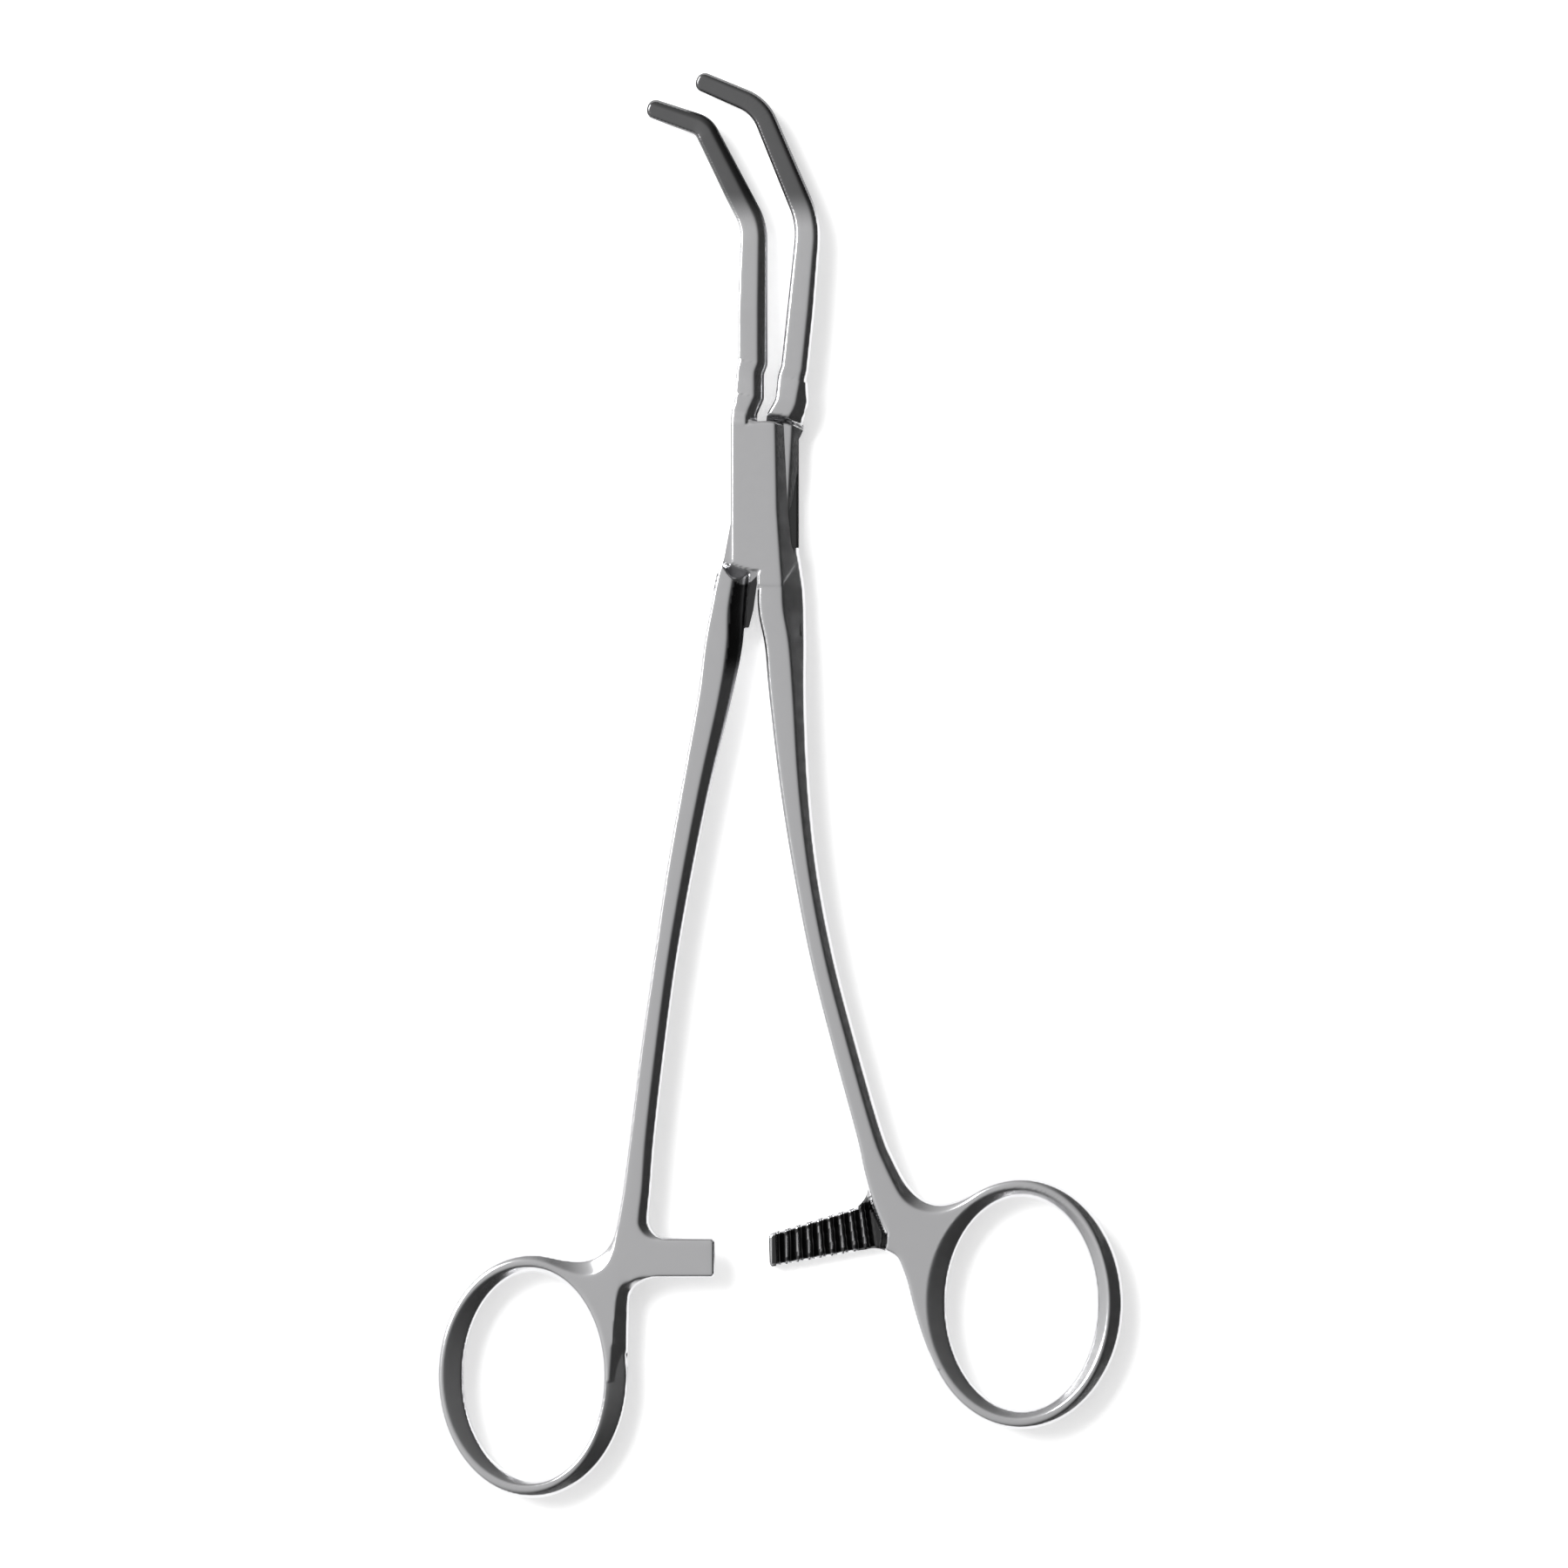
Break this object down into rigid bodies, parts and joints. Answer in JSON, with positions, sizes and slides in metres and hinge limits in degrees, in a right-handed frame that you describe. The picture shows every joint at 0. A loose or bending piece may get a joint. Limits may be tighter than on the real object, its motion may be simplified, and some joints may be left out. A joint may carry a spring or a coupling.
{
  "type": "vascular clamp",
  "caption": "Stainless steel vascular clamp with doubly angled jaws, a box lock, long slim shanks, a ratchet and two finger rings.",
  "frame": {"origin": "where the pivot axis meets the back face of the box lock, which lies on the table", "axes": "+Y from the pivot towards the jaws, +X to the right as seen from the front, +Z out of the front face"},
  "size_m": [0.0864, 0.1797, 0.0054],
  "materials": {
    "satin_steel": "satin ground stainless steel"
  },
  "bodies": {
    "box_body": {"box_half": "satin_steel", "pivot_pin": "satin_steel"},
    "tang_body": {"tang_half": "satin_steel"}
  },
  "joints": [
    {"name": "clamp_pivot", "type": "hinge", "parent": "box_body", "child": "tang_body", "pos_m": [0, 0, 0.0027], "axis": [0, 0, 1], "range_deg": [-14, 5.8]}
  ]
}
